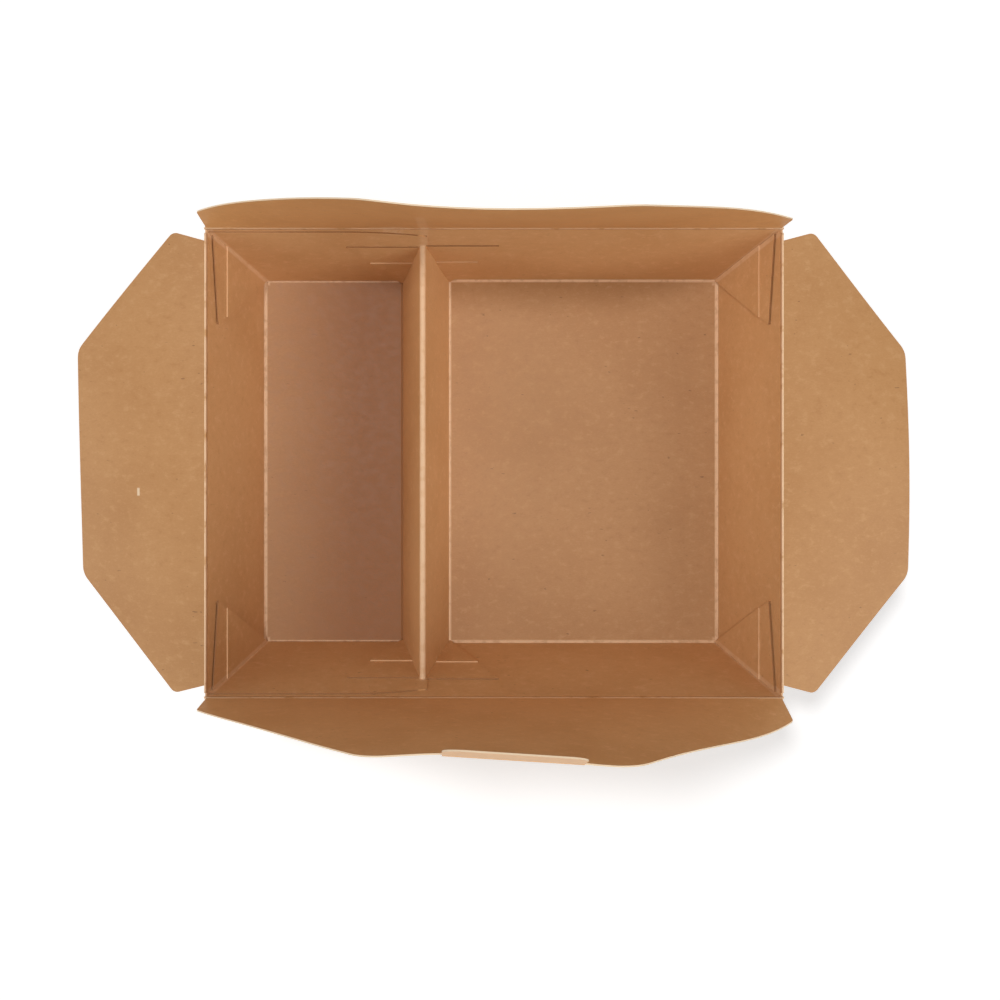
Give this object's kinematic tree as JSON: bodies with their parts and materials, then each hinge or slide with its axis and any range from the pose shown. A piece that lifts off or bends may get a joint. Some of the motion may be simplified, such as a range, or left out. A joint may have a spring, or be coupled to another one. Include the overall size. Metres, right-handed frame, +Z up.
{
  "type": "takeaway box",
  "caption": "Open two-compartment takeaway box of folded kraft board, with leaning walls, an inverted-V divider and four hinged closing flaps.",
  "frame": {"origin": "middle of the floor's underside", "axes": "+Z up out of the open top, +X along the box to the larger compartment, +Y to the back wall"},
  "size_m": [0.2514, 0.1479, 0.139],
  "materials": {
    "kraft_board": "satin"
  },
  "bodies": {
    "tray": {"tray": "kraft_board"},
    "front_flap": {"front_flap": "kraft_board"},
    "back_flap": {"back_flap": "kraft_board"},
    "left_flap": {"left_flap": "kraft_board"},
    "right_flap": {"right_flap": "kraft_board"}
  },
  "joints": [
    {"name": "front_flap_fold", "type": "hinge", "parent": "tray", "child": "front_flap", "pos_m": [0, -0.06972, 0.048], "axis": [-1, 0, 0], "range_deg": [-118, 87.5]},
    {"name": "back_flap_fold", "type": "hinge", "parent": "tray", "child": "back_flap", "pos_m": [0, 0.06972, 0.048], "axis": [1, 0, 0], "range_deg": [-118, 77.5]},
    {"name": "left_flap_fold", "type": "hinge", "parent": "tray", "child": "left_flap", "pos_m": [-0.08567, 0, 0.0472], "axis": [0, 1, 0], "range_deg": [-36, 200]},
    {"name": "right_flap_fold", "type": "hinge", "parent": "tray", "child": "right_flap", "pos_m": [0.08567, 0, 0.0472], "axis": [0, -1, 0], "range_deg": [-36, 197]}
  ]
}
